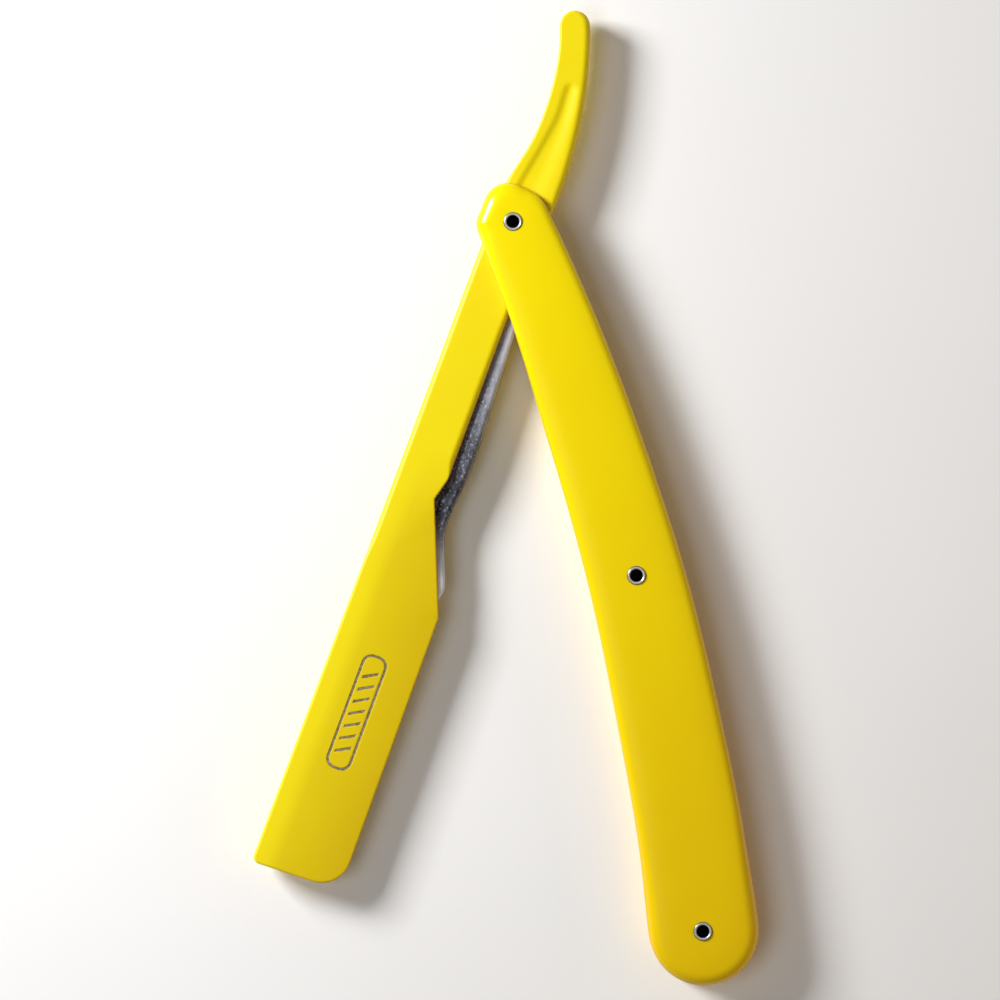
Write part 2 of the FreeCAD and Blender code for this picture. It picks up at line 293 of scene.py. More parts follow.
def grid_points(low, high, spacing):
    """Staggered even grid over a rectangle."""
    rows = np.arange(low[1], high[1], spacing * GRID_ROW_SHARE)
    points = []
    for number, y in enumerate(rows):
        xs = np.arange(low[0] + (number % 2) * spacing / 2, high[0], spacing)
        points.append(np.stack([xs, np.full(len(xs), y)], 1))
    return np.concatenate(points)


class Skin:
    """One face of a plate in plan: rings that roll over its edge, then an even mesh inside."""

    EDGE_MARGIN = 0.6
    GRID_ROOM = 0.45
    HOLE_ROOM = 0.4
    HOLE_SPACING = 0.4
    WELD = 1e-7
    COTANGENTS = (0.02, 50)
    MOST_STEPS = 900
    SETTLED = 1e-10

    def __init__(self, outline, radius, holes=(), spacing=0.6, fine=None, fine_spacing=0.15,
                 rings=7, fall=None):
        self.count = len(outline)
        self.hole_loops = [np.asarray(hole) for hole in holes]
        plan, drop = self._rolled_edge(outline, radius, fall, rings)
        self.ring_count = len(plan)
        grid = self._even_grid(plan[-1], spacing, fine, fine_spacing)
        start = self.count * self.ring_count
        self.hole_ids = []
        for hole in self.hole_loops:
            self.hole_ids.append(np.arange(start, start + len(hole)))
            start += len(hole)
        self.plan = np.concatenate(plan + self.hole_loops + [grid])
        self.drop = np.zeros(len(self.plan))
        self.drop[:self.count * self.ring_count] = np.concatenate(drop)
        self.faces = self._ring_faces() + self._inner_faces()

    def _rolled_edge(self, outline, radius, fall, rings):
        """Rings from the outline inwards and their depths, then one more ring on the face."""
        inward = inward_normals(outline)
        radius = np.broadcast_to(np.asarray(radius, float), (self.count,))
        fall = radius if fall is None else fall
        plan, drop = [], []
        for k in range(rings + 1):
            angle = math.pi / 2 * k / rings
            plan.append(outline + inward * (radius * (1 - math.cos(angle)))[:, None])
            drop.append(fall * (1 - math.sin(angle)))
        margin = np.hypot(*(outline - np.roll(outline, 1, 0)).T).mean()
        plan.append(outline + inward * (radius + self.EDGE_MARGIN * margin)[:, None])
        drop.append(np.zeros(self.count))
        return plan, drop

    def _even_grid(self, inner, spacing, fine, fine_spacing):
        """Points inside the last ring and clear of the holes, denser where fine(points) holds."""
        grid = grid_points(inner.min(0), inner.max(0), spacing)
        if fine is not None:
            dense = grid_points(inner.min(0), inner.max(0), fine_spacing)
            grid = np.concatenate([grid[~fine(grid)], dense[fine(dense)]])
        grid = grid[inside(grid, inner)]
        pitch = spacing if fine is None else np.where(fine(grid), fine_spacing, spacing)
        grid = grid[distance_to(grid, inner) > self.GRID_ROOM * pitch]
        for hole in self.hole_loops:
            centre = hole.mean(0)
            clear = np.hypot(*(hole[0] - centre)) + self.HOLE_ROOM * min(spacing, self.HOLE_SPACING)
            grid = grid[np.hypot(*(grid - centre).T) > clear]
        return grid

    def _ring_faces(self):
        faces = []
        n = self.count
        for k in range(self.ring_count - 1):
            for i in range(n):
                j = (i + 1) % n
                faces.append((k * n + i, k * n + j, (k + 1) * n + j, (k + 1) * n + i))
        return faces

    def _inner_faces(self):
        first = self.count * (self.ring_count - 1)
        points = self.plan[first:]
        edges = [(i, (i + 1) % self.count) for i in range(self.count)]
        for ids in self.hole_ids:
            local = ids - first
            edges += [(int(a), int(b)) for a, b in zip(local, np.roll(local, -1))]
        found = delaunay_2d_cdt([Vector(p) for p in points], edges, [], 0, self.WELD)
        origin = found[3]
        tris = []
        for face in found[2]:
            ids = [origin[v][0] if origin[v] else -1 for v in face]
            if min(ids) >= 0:
                tris.append(ids)
        tris = np.array(tris)
        middle = points[tris].mean(1)
        keep = inside(middle, points[:self.count])
        for hole in self.hole_loops:
            keep &= ~inside(middle, hole)
        return [tuple(int(v) + first for v in tri) for tri in tris[keep]]

    def crown(self):
        """Height of a membrane blown up over the plan and held down at its outline."""
        tris = []
        for face in self.faces:
            tris.append(face[:3])
            if len(face) == 4:
                tris.append((face[0], face[2], face[3]))
        tris = np.array(tris)
        p = self.plan
        n = len(p)
        area = np.zeros(n)
        pairs_a, pairs_b, weights = [], [], []
        for a, b, c in ((0, 1, 2), (1, 2, 0), (2, 0, 1)):
            u = p[tris[:, a]] - p[tris[:, c]]
            v = p[tris[:, b]] - p[tris[:, c]]
            cross = np.abs(u[:, 0] * v[:, 1] - u[:, 1] * v[:, 0]) + 1e-9
            cot = np.clip((u * v).sum(1) / cross, *self.COTANGENTS)
            pairs_a.append(tris[:, a])
            pairs_b.append(tris[:, b])
            weights.append(cot / 2)
            area += np.bincount(tris[:, a], cross / 6, n)
        ia, ib, wt = np.concatenate(pairs_a), np.concatenate(pairs_b), np.concatenate(weights)
        free = np.ones(n, bool)
        free[:self.count] = False
        diagonal = np.bincount(ia, wt, n) + np.bincount(ib, wt, n) + 1e-12

        def laplacian(x):
            flow = wt * (x[ia] - x[ib])
            return np.where(free, np.bincount(ia, flow, n) - np.bincount(ib, flow, n), 0)

        height = np.zeros(n)
        rest = np.where(free, area, 0)
        shaped = rest / diagonal
        heading = shaped.copy()
        power = rest @ shaped
        for _ in range(self.MOST_STEPS):
            pushed = laplacian(heading)
            step = power / (heading @ pushed)
            height += step * heading
            rest = rest - step * pushed
            shaped = rest / diagonal
            fresh = rest @ shaped
            if fresh < self.SETTLED:
                break
            heading = shaped + heading * (fresh / power)
            power = fresh
        return height


def plate_mesh(name, top, top_z, bottom, bottom_z, hole_steps=None, wall_rows=2):
    """Closed plate between two skins that share their outline and their holes."""
    n_top = len(top.plan)
    verts = np.concatenate([np.column_stack([top.plan, top_z]),
                            np.column_stack([bottom.plan, bottom_z])])
    verts = [tuple(v) for v in verts]
    faces = list(top.faces)
    faces += [tuple(n_top + v for v in reversed(face)) for face in bottom.faces]

    def bridge(upper, lower, flip):
        count = len(upper)
        for i in range(count):
            j = (i + 1) % count
            quad = (upper[i], lower[i], lower[j], upper[j])
            faces.append(tuple(reversed(quad)) if flip else quad)

    def add_ring(points):
        first = len(verts)
        verts.extend(tuple(p) for p in points)
        return list(range(first, first + len(points)))

    upper = list(range(top.count))
    lower = [n_top + v for v in range(bottom.count)]
    rows = [upper]
    a, b = np.array([verts[v] for v in upper]), np.array([verts[v] for v in lower])
    for row in range(1, wall_rows):
        rows.append(add_ring(a + (b - a) * (row / wall_rows)))
    rows.append(lower)
    for first, second in zip(rows, rows[1:]):
        bridge(first, second, False)
    for number, ids in enumerate(top.hole_ids):
        last = [n_top + int(v) for v in bottom.hole_ids[number]]
        rows = [[int(v) for v in ids]]
        centre = top.hole_loops[number].mean(0)
        for radius, z in (hole_steps or {}).get(number, ()):
            ring = circle(centre, radius, len(ids))
            rows.append(add_ring(np.column_stack([ring, np.full(len(ids), z)])))
        rows.append(last)
        for first, second in zip(rows, rows[1:]):
            bridge(first, second, True)
    return build_mesh(name, verts, faces)


def build_mesh(name, verts, faces, smooth_degrees=SMOOTH_DEGREES):
    """Mesh object from millimetre vertices, smooth except over sharp corners."""
    mesh = bpy.data.meshes.new(name)
    mesh.from_pydata([(v[0] * MM, v[1] * MM, v[2] * MM) for v in verts], [], faces)
    mesh.validate()
    obj = bpy.data.objects.new(name, mesh)
    bpy.context.scene.collection.objects.link(obj)
    soften(obj, smooth_degrees)
    return obj


def soften(obj, degrees=SMOOTH_DEGREES):
    obj.data.polygons.foreach_set("use_smooth", [True] * len(obj.data.polygons))
    obj.data.set_sharp_from_angle(angle=math.radians(degrees))
    obj.data.update()


def to_row_frame(obj):
    """Turn a mesh drawn in the arm's plan to where the arm rests."""
    c, s = math.cos(ARM_ANGLE), math.sin(ARM_ANGLE)
    co = np.empty(len(obj.data.vertices) * 3, np.float32)
    obj.data.vertices.foreach_get("co", co)
    co = co.reshape(-1, 3)
    x, y = co[:, 0].copy(), co[:, 1].copy()
    co[:, 0] = x * c - y * s
    co[:, 1] = x * s + y * c
    obj.data.vertices.foreach_set("co", co.ravel())
    obj.data.update()


def cut(obj, cutter):
    """Subtract a closed mesh and remove it."""
    modifier = obj.modifiers.new("cut", "BOOLEAN")
    modifier.operation = "DIFFERENCE"
    modifier.solver = "EXACT"
    modifier.object = cutter
    bpy.context.view_layer.objects.active = obj
    for other in bpy.context.selected_objects:
        other.select_set(False)
    obj.select_set(True)
    bpy.ops.object.modifier_apply(modifier=modifier.name)
    bpy.data.objects.remove(cutter)


def prism(name, loop, low, high):
    """Closed straight block over a plan loop, anticlockwise."""
    n = len(loop)
    verts = [(p[0], p[1], high) for p in loop] + [(p[0], p[1], low) for p in loop]
    faces = [tuple(range(n)), tuple(reversed(range(n, 2 * n)))]
    faces += [(i, n + i, n + (i + 1) % n, (i + 1) % n) for i in range(n)]
    return build_mesh(name, verts, faces)


def lathe(name, centre, profile, count=96, smooth_degrees=SMOOTH_DEGREES):
    """Closed ring turned about a vertical axis from a closed (radius, z) profile."""
    verts, faces = [], []
    m = len(profile)
    for i in range(count):
        angle = 2 * math.pi * i / count
        for radius, z in profile:
            verts.append((centre[0] + radius * math.cos(angle), centre[1] + radius * math.sin(angle), z))
    for i in range(count):
        a, b = i * m, ((i + 1) % count) * m
        for k in range(m):
            after = (k + 1) % m
            faces.append((a + k, b + k, b + after, a + after))
    return build_mesh(name, verts, faces, smooth_degrees)


def arc(middle, radii, start, end, steps):
    """Elliptical arc of a (radius, z) profile, between two angles in degrees."""
    angles = [math.radians(start + (end - start) * k / steps) for k in range(steps + 1)]
    return [(middle[0] + radii[0] * math.cos(a), middle[1] + radii[1] * math.sin(a)) for a in angles]


def step_between(x, low, high):
    """Smooth 0 to 1 ramp."""
    t = np.clip((x - low) / (high - low), 0, 1)
    return t * t * (3 - 2 * t)


def grain(points, scale, seed):
    """Smooth value noise between -1 and 1 over plan points."""
    cells = 256
    draws = np.random.default_rng(seed).uniform(-1, 1, (cells, cells))
    q = points / scale
    cell = np.floor(q).astype(int)
    f = q - cell
    f = f * f * (3 - 2 * f)
    x0, y0 = cell[:, 0] % cells, cell[:, 1] % cells
    x1, y1 = (x0 + 1) % cells, (y0 + 1) % cells
    low = draws[x0, y0] * (1 - f[:, 0]) + draws[x1, y0] * f[:, 0]
    high = draws[x0, y1] * (1 - f[:, 0]) + draws[x1, y1] * f[:, 0]
    return low * (1 - f[:, 1]) + high * f[:, 1]


# ---------------------------------------------------------------- materials

# Scales of the noises, in cells per metre.
CLOUD_SCALE = 55.0
HANDLING_SCALE = 240.0
PEEL_SCALE = 1500.0
SPECK_SCALE = 1900.0
PATCH_SCALE = 420.0
LUMP_SCALE = 1100.0
PIT_SCALE = 2600.0
TARNISH_SCALE = 1800.0
TURNING_SCALE = 2600.0
SCUFF_SCALE = 3200.0
BURN_SCALE = 1900.0
MOULD_CLOUD_SCALE = 300.0
MOULD_WAVE_SCALE = 700.0
SPARK_SCALE = 4200.0
CARD_CLOUD_SCALE = 14.0
CARD_GRAIN_SCALE = 900.0
# Sizes of one cell of a directional noise, in metres.
SCRATCH_CELL = (0.02, 0.00035, 0.02)
POLISH_CELL = (0.012, 0.00022, 0.004)

WHOLE = (0.0, 1.0)
NOISE_SPREAD = (0.3, 0.7)
# Painted shade: the darker orange that the yellow's sideways-facing surfaces are mixed towards.
SIDE_SHADE_ORANGE = (0.92, 0.49, 0.0005)
SPECK_YELLOW = (0.60, 0.44, 0.01)
COATING_IOR = 1.46
FLECK_GREY = (0.75, 0.76, 0.82)
PATCH_SWING = 0.55
PATCH_MIDDLE = 0.27
# Painted shade: the nearly black colour inside the rivet bore.
BORE_SHADE = (0.012, 0.011, 0.012)
NICKEL_BRIGHT = (0.86, 0.84, 0.80)
NICKEL_TARNISHED = (0.55, 0.50, 0.44)
# Painted shade in the seam round the rivet lip, and the span of radius that it covers.
SEAM_SHADE = (0.05, 0.04, 0.03)
SEAM_SHADE_SPAN = (1.40 * MM, 1.56 * MM)
BORE_EDGE = ((RIVET_BORE + 0.02) * MM, (RIVET_BORE + 0.10) * MM)
BURNT = ((0.34, (0.15, 0.10, 0.03)), (0.60, (0.33, 0.26, 0.13)), (0.80, (0.50, 0.45, 0.36)))
CARD_WHITE = ((0.3, (0.95, 0.95, 0.95)), (0.7, (0.97, 0.97, 0.97)))
WEAR_TO_METAL = ((0.35, (1.0,) * 3), (0.9, (0.5,) * 3), (1.0, (0.1,) * 3))


def object_coordinate(tree):
    return tree.nodes.new("ShaderNodeTexCoord").outputs["Object"]


def new_material(name):
    """Material, its node tree, its shader and the coordinate that its textures use."""
    mat = bpy.data.materials.new(name)
    mat.use_nodes = True
    tree = mat.node_tree
    return mat, tree, tree.nodes["Principled BSDF"], object_coordinate(tree)


def add(tree, kind, **settings):
    node = tree.nodes.new(kind)
    for key, value in settings.items():
        if key.startswith("in_"):
            node.inputs[key[3:].replace("_", " ")].default_value = value
        else:
            setattr(node, key, value)
    return node


def combined(tree, operation, first, second, clamped=False):
    """Two values joined by a Math node; the second may be a plain number."""
    node = add(tree, "ShaderNodeMath", operation=operation, use_clamp=clamped)
    tree.links.new(first, node.inputs[0])
    if isinstance(second, float):
        node.inputs[1].default_value = second
    else:
        tree.links.new(second, node.inputs[1])
    return node.outputs["Value"]


def noise(tree, vector, scale, detail=3.0, roughness=0.5):
    node = add(tree, "ShaderNodeTexNoise", in_Scale=scale, in_Detail=detail, in_Roughness=roughness)
    tree.links.new(vector, node.inputs["Vector"])
    return node.outputs["Fac"]


def stretched(tree, vector, cell, angle=0.0):
    """Coordinates turned about Z and divided by a cell's size, for directional marks."""
    node = add(tree, "ShaderNodeMapping", vector_type="TEXTURE", in_Rotation=(0, 0, angle), in_Scale=cell)
    tree.links.new(vector, node.inputs["Vector"])
    return node.outputs["Vector"]


def ramp(tree, value, stops):
    node = tree.nodes.new("ShaderNodeValToRGB")
    elements = node.color_ramp.elements
    while len(elements) < len(stops):
        elements.new(0.5)
    for element, (position, colour) in zip(elements, stops):
        element.position = position
        element.color = (*colour, 1.0)
    tree.links.new(value, node.inputs["Fac"])
    return node.outputs["Color"]


def ranged(tree, value, to, source=WHOLE):
    """Value carried from one span to another and held inside it."""
    node = add(tree, "ShaderNodeMapRange", in_From_Min=source[0], in_From_Max=source[1],
               in_To_Min=to[0], in_To_Max=to[1])
    tree.links.new(value, node.inputs["Value"])
    return node.outputs["Result"]


def mixed(tree, factor, first, second):
    """Two colours mixed; each is a plain colour or an output."""
    node = add(tree, "ShaderNodeMix", data_type="RGBA")
    tree.links.new(factor, node.inputs["Factor"])
    for socket, colour in ((node.inputs[6], first), (node.inputs[7], second)):
        if isinstance(colour, tuple):
            socket.default_value = (*colour, 1.0)
        else:
            tree.links.new(colour, socket)
    return node.outputs[2]


def painted(tree, shader, colour, roughness):
    tree.links.new(colour, shader.inputs["Base Color"])
    tree.links.new(roughness, shader.inputs["Roughness"])


def bumped(tree, shader, layers):
    """Chain bump layers, each (height, strength, distance in metres), into the shader's normal."""
    previous = None
    for height, strength, distance in layers:
        node = add(tree, "ShaderNodeBump", in_Strength=strength, in_Distance=distance)
        tree.links.new(height, node.inputs["Height"])
        if previous is not None:
            tree.links.new(previous, node.inputs["Normal"])
        previous = node.outputs["Normal"]
    tree.links.new(previous, shader.inputs["Normal"])


def side_facing(tree, to, source):
    """Value carried from how far the surface faces sideways: 0 for up or down, 1 for sideways."""
    geometry = tree.nodes.new("ShaderNodeNewGeometry")
    split = tree.nodes.new("ShaderNodeSeparateXYZ")
    tree.links.new(geometry.outputs["Normal"], split.inputs["Vector"])
    flat = add(tree, "ShaderNodeMath", operation="ABSOLUTE")
    tree.links.new(split.outputs["Z"], flat.inputs[0])
    return ranged(tree, ranged(tree, flat.outputs["Value"], (1.0, 0.0)), to, source)


def along_axis(tree, angle):
    """Object coordinate, in metres, along a direction in the plan."""
    dot = add(tree, "ShaderNodeVectorMath", operation="DOT_PRODUCT")
    dot.inputs[1].default_value = (math.cos(angle), math.sin(angle), 0)
    tree.links.new(object_coordinate(tree), dot.inputs[0])
    return dot.outputs["Value"]


def share_along(tree, angle, stops):
    """0 to 1 value along a direction in the plan; stops are (distance in mm, value)."""
    first, last = stops[0][0], stops[-1][0]
    run = ranged(tree, along_axis(tree, angle), WHOLE, (first * MM, last * MM))
    return ramp(tree, run, [((at - first) / (last - first), (value,) * 3) for at, value in stops])


def yellow_gloss(name, light, deep, roughness, orange_peel, scratches, angle, across, along=None):
    """Saturated glossy yellow with fine handling marks, and painted shade that deepens it in places and on
    its sides.

    across is a direction and its stops, and the colour is painted deeper, as shade, where they are high.
    along is a second such pair, which scales the first.
    """
    mat, tree, shader, here = new_material(name)
    # Painted shade: the colour goes from the light to the deep copy along these ramps, standing in for light
    # falloff.
    painted_falloff = share_along(tree, *across)
    if along:
        painted_falloff = combined(tree, "MULTIPLY", painted_falloff, share_along(tree, *along))
    cloud = ranged(tree, noise(tree, here, CLOUD_SCALE, 2.0), (-0.08, 0.08), NOISE_SPREAD)
    colour = mixed(tree, combined(tree, "ADD", painted_falloff, cloud, clamped=True), light, deep)
    # Painted shade: surfaces that face sideways turn darker orange, as if turned away from the light.
    side_shaded = mixed(tree, side_facing(tree, (0.0, 0.85), (0.25, 0.98)), colour, SIDE_SHADE_ORANGE)
    specks = ranged(tree, noise(tree, here, SPECK_SCALE, 1.0), (0.0, 0.04), (0.72, 0.80))
    lines = noise(tree, stretched(tree, here, SCRATCH_CELL, angle), 1.0, 2.0)
    marks = ranged(tree, lines, WHOLE, (0.62, 0.74))
    wear = ranged(tree, noise(tree, here, HANDLING_SCALE, 4.0, 0.6), roughness, NOISE_SPREAD)
    rough = combined(tree, "ADD", wear, ranged(tree, marks, (0.0, 0.03)))
    satin = combined(tree, "ADD", rough, side_facing(tree, (0.0, 0.68), (0.35, 0.85)))
    painted(tree, shader, mixed(tree, specks, side_shaded, SPECK_YELLOW), satin)
    shader.inputs["IOR"].default_value = COATING_IOR
    bumped(tree, shader, [
        (noise(tree, here, PEEL_SCALE, 2.0), orange_peel, 0.00002),
        (marks, scratches, 0.00001),
    ])
    return mat


def steel(name, dark, bright, roughness, cast, polish_and_highlight_stops, across=None):
    """Dark steel: cast grain, lengthwise polishing lines, brighter stretches that are partly rubbed wear and
    partly painted highlight, and painted shade on its sides.

    The stops along the arm are (distance along the arm in mm, brightness 0 to 1); across is the same
    for the distance across it, and scales the first, so that its low end paints shadow.
    """
    mat, tree, shader, here = new_material(name)
    lines = noise(tree, stretched(tree, here, POLISH_CELL, ARM_ANGLE), 1.0, 3.0)
    pits = noise(tree, here, PIT_SCALE, 3.0, 0.6)
    # Brighter where rubbed, and painted highlight where the metal stands lit.
    polish_and_highlight = share_along(tree, ARM_ANGLE, polish_and_highlight_stops)
    # Painted shadow: across darkens the strip beside the arm's edge, where the arm shades it.
    if across:
        polish_and_highlight = combined(tree, "MULTIPLY", polish_and_highlight, share_along(tree, ARM_ANGLE + math.pi / 2, across))
    patches = combined(tree, "MULTIPLY", noise(tree, here, PATCH_SCALE, 3.0, 0.6), PATCH_SWING)
    spread = combined(tree, "ADD", patches, combined(tree, "SUBTRACT", polish_and_highlight, PATCH_MIDDLE))
    flecks = ranged(tree, pits, (0.0, 0.8), (0.54, 0.67))
    base = mixed(tree, flecks, mixed(tree, spread, dark, bright), FLECK_GREY)
    # Painted shade: sideways-facing surfaces are mixed to the dark colour.
    base = mixed(tree, side_facing(tree, WHOLE, (0.35, 0.85)), base, dark)
    tree.links.new(ramp(tree, polish_and_highlight, WEAR_TO_METAL), shader.inputs["Metallic"])
    rough = combined(tree, "MULTIPLY", ranged(tree, lines, roughness, NOISE_SPREAD),
                     ranged(tree, pits, (0.85, 1.2), (0.35, 0.65)))
    painted(tree, shader, base, rough)
    bumped(tree, shader, [
        (pits, cast, 0.00005),
        (noise(tree, here, LUMP_SCALE, 2.0), cast, 0.00008),
        (lines, 0.2, 0.00002),
    ])
    return mat


def nickel(name, centre):
    """Bright nickel plate with turned marks, with painted shade in the bore and in the seam round the lip."""
    mat, tree, shader, here = new_material(name)
    moved = add(tree, "ShaderNodeVectorMath", operation="SUBTRACT")
    tree.links.new(here, moved.inputs[0])
    moved.inputs[1].default_value = (centre[0] * MM, centre[1] * MM, 0)
    flat = add(tree, "ShaderNodeVectorMath", operation="MULTIPLY")
    tree.links.new(moved.outputs["Vector"], flat.inputs[0])
    flat.inputs[1].default_value = (1, 1, 0)
    length = add(tree, "ShaderNodeVectorMath", operation="LENGTH")
    tree.links.new(flat.outputs["Vector"], length.inputs[0])
    radius = length.outputs["Value"]
    tarnish = ranged(tree, noise(tree, here, TARNISH_SCALE, 4.0, 0.6), (0.0, 0.55), (0.48, 0.75))
    plate = mixed(tree, tarnish, NICKEL_BRIGHT, NICKEL_TARNISHED)
    # Painted shade: a dark ring at the lip's outer edge, where the lip meets the scale.
    plate = mixed(tree, ranged(tree, radius, WHOLE, SEAM_SHADE_SPAN), plate, SEAM_SHADE)
    outside = ranged(tree, radius, WHOLE, BORE_EDGE)
    tree.links.new(ranged(tree, outside, (0.0, 0.55)), shader.inputs["Metallic"])
    turning = add(tree, "ShaderNodeTexWave", wave_type="RINGS", rings_direction="Z",
                  in_Scale=TURNING_SCALE, in_Distortion=1.5, in_Detail=2.0)
    tree.links.new(moved.outputs["Vector"], turning.inputs["Vector"])
    scuffs = noise(tree, here, SCUFF_SCALE, 3.0)
    rough = ranged(tree, scuffs, (0.20, 0.36), NOISE_SPREAD)
    # Painted shade: inside the bore the colour turns nearly black.
    painted(tree, shader, mixed(tree, outside, BORE_SHADE, plate), rough)
    bumped(tree, shader, [
        (turning.outputs["Fac"], 0.10, 0.00001),
        (scuffs, 0.15, 0.00002),
    ])
    return mat


def moulded(name, light, deep, roughness, texture):
    """Plain moulded plastic with a faint spark-eroded grain."""
    mat, tree, shader, here = new_material(name)
    colour = ramp(tree, noise(tree, here, MOULD_CLOUD_SCALE, 3.0), [(0.35, light), (0.68, deep)])
    fine = noise(tree, here, SPARK_SCALE, 2.0)
    painted(tree, shader, colour, ranged(tree, fine, roughness, NOISE_SPREAD))
    bumped(tree, shader, [
        (fine, texture, 0.00003),
        (noise(tree, here, MOULD_WAVE_SCALE, 2.0), 0.1, 0.00004),
    ])
    return mat


def etched(name):
    """Laser-marked floor of the ornament: burnt coating with bare grey metal showing through."""
    mat, tree, shader, here = new_material(name)
    burn = noise(tree, here, BURN_SCALE, 4.0, 0.65)
    painted(tree, shader, ramp(tree, burn, BURNT), ranged(tree, burn, (0.45, 0.8)))
    bumped(tree, shader, [(burn, 0.5, 0.00004)])
    return mat


def floor_card(name):
    mat, tree, shader, here = new_material(name)
    cloud = noise(tree, here, CARD_CLOUD_SCALE, 3.0)
    painted(tree, shader, ramp(tree, cloud, CARD_WHITE), ranged(tree, cloud, (0.55, 0.65)))
    bumped(tree, shader, [(noise(tree, here, CARD_GRAIN_SCALE, 2.0), 0.04, 0.0002)])
    return mat


# Painted shade: the scales' colour deepens towards the tail, standing in for the lamp's falloff.
scale_plastic = yellow_gloss(
    "scale_plastic", light=(0.95, 0.765, 0.0005), deep=(0.86, 0.575, 0.0005), roughness=(0.15, 0.21),
    orange_peel=0.02, scratches=0.02, angle=0.03,
    across=(0.0, [(0.0, 0.0), (60.0, 0.38), (90.0, 0.72), (132.0, 1.0)]))
# Painted shade: the coating deepens across the ground face towards the cutting edge and along the head, as if
# that face were turned from the light.
arm_coating = yellow_gloss(
    "arm_coating", light=(0.92, 0.75, 0.0005), deep=(0.72, 0.51, 0.0005), roughness=(0.36, 0.44),
    orange_peel=0.22, scratches=0.03, angle=ARM_ANGLE,
    across=(ARM_ANGLE + math.pi / 2, [(-2.2, 0.0), (-1.2, 0.10), (0.8, 0.55), (12.0, 1.0)]),
    along=(ARM_ANGLE, [(40.0, 0.0), (52.0, 0.8), (70.0, 0.9), (117.0, 1.0)]))
# Painted highlight: the nub and the top of the strip are brightened besides rubbed wear; across paints the
# arm's shadow on the strip.
clamp_steel = steel(
    "clamp_steel", dark=(0.060, 0.062, 0.088), bright=(0.84, 0.86, 1.0), roughness=(0.44, 0.62), cast=0.6,
    polish_and_highlight_stops=[(18.0, 0.9), (30.0, 0.62), (40.0, 0.25), (51.0, 0.12), (57.0, 0.75), (61.0, 1.0),
            (66.0, 1.0), (70.0, 0.55), (117.0, 0.6)],
    across=[(4.2, 0.1), (6.2, 1.0)])
stud_steel = steel(
    "stud_steel", dark=(0.45, 0.45, 0.47), bright=(0.66, 0.66, 0.68), roughness=(0.18, 0.34), cast=0.12,
    polish_and_highlight_stops=[(70.0, 0.5), (110.0, 0.6)])
spacer_plastic = moulded("spacer_plastic", (0.86, 0.66, 0.01), (0.80, 0.60, 0.008), (0.38, 0.52), 0.2)
washer_nylon = moulded("washer_nylon", (0.80, 0.79, 0.74), (0.72, 0.71, 0.66), (0.35, 0.5), 0.15)
etched_mark = etched("etched_mark")

# ---------------------------------------------------------------- handle

RIVET_PLACES = (PIVOT, MIDDLE, TAIL)
LIP_RADIUS = 1.62
LIP_SUNK = 0.05
LIP_RISE = 0.33
SPREAD_RADIUS = 1.75
SPREAD_ROUND = 0.16
SPREAD_THICKNESS = 0.32
SPREAD_CHAMFER = 0.05


def finish_piece(obj, body, slot, nodes, *materials):
    for mat in materials:
        obj.data.materials.append(mat)
    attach(obj, body)
    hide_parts(*nodes)


scale_loop = smooth_loop(sliced("front_scale", SCALE_INNER + 0.5), 0.42)


def scale_skins(outer_hole):
    """Outer and inner faces of a scale, with its edge rolled further at the head and the tail."""
    x = scale_loop[:, 0]
    head = 1 - step_between(x + 0.6 * scale_loop[:, 1], -3.5, 3.0)
    tail = step_between(x, 100.0, 125.0)
    inset = SCALE_EDGE_INSET + (SCALE_HEAD_INSET - SCALE_EDGE_INSET) * head
    inset += (SCALE_TAIL_INSET - SCALE_EDGE_INSET) * tail
    fall = SCALE_EDGE_FALL + (SCALE_HEAD_FALL - SCALE_EDGE_FALL) * head
    fall += (SCALE_TAIL_FALL - SCALE_EDGE_FALL) * tail
    inset = room_to_inset(scale_loop, inset)
    outer_holes = [circle(place, outer_hole) for place in RIVET_PLACES]
    inner_holes = [circle(place, HOLE_RADIUS) for place in RIVET_PLACES]
    outer = Skin(scale_loop, inset, outer_holes, 0.55, rings=11, fall=fall)
    inner = Skin(scale_loop, INNER_EDGE_ROUND, inner_holes, 2.2, rings=3)
    return outer, inner


def scale_shell(node, outer_hole, steps=None):
    """Crowned plate of a scale, and the height of its outer face round each rivet."""
    outer, inner = scale_skins(outer_hole)
    top = SCALE_OUTER - SCALE_CROWN * np.exp(-outer.crown() / SCALE_CROWN_REACH) - outer.drop
    obj = plate_mesh(node + "_shell", outer, top, inner, SCALE_INNER + inner.drop, steps)
    return obj, [float(top[ids].mean()) for ids in outer.hole_ids]


def front_scale():
    obj, rims = scale_shell("front_scale", HOLE_RADIUS)
    finish_piece(obj, HANDLE, "scale_plastic", ["front_scale"], scale_plastic)
    return rims


def rear_scale():
    """The front scale's mirror image, with a stepped recess for each washer."""
    recess = SCALE_OUTER - RECESS_DEPTH
    steps = {k: [(RECESS_RADIUS, recess), (HOLE_RADIUS, recess)] for k in range(len(RIVET_PLACES))}
    obj, _ = scale_shell("rear_scale", RECESS_RADIUS, steps)
    for vertex in obj.data.vertices:
        vertex.co.z = -vertex.co.z
    obj.data.flip_normals()
    finish_piece(obj, HANDLE, "scale_plastic", ["rear_scale"], scale_plastic)


